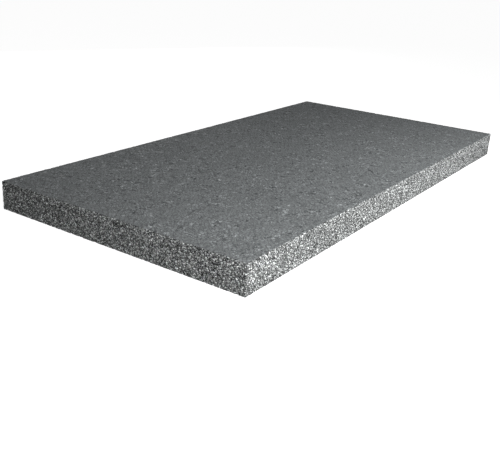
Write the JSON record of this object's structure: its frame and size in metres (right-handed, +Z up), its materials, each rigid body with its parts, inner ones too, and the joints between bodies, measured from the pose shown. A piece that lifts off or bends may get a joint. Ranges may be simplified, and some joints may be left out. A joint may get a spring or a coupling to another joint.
{
  "type": "polystyrene insulation board",
  "caption": "Flat rectangular slab of grey expanded polystyrene foam with square-cut edges, laid or bonded against a surface as thermal insulation.",
  "frame": {"origin": "middle of the underside, on the surface the board lies on", "axes": "+X along the board's length, +Y across its width, +Z up through its thickness"},
  "size_m": [1, 0.5, 0.05],
  "materials": {
    "foam": "matt closed-cell bead foam, mid grey with paler beads on the cut edges"
  },
  "bodies": {
    "root": {"insulation_board": "foam"}
  },
  "joints": []
}
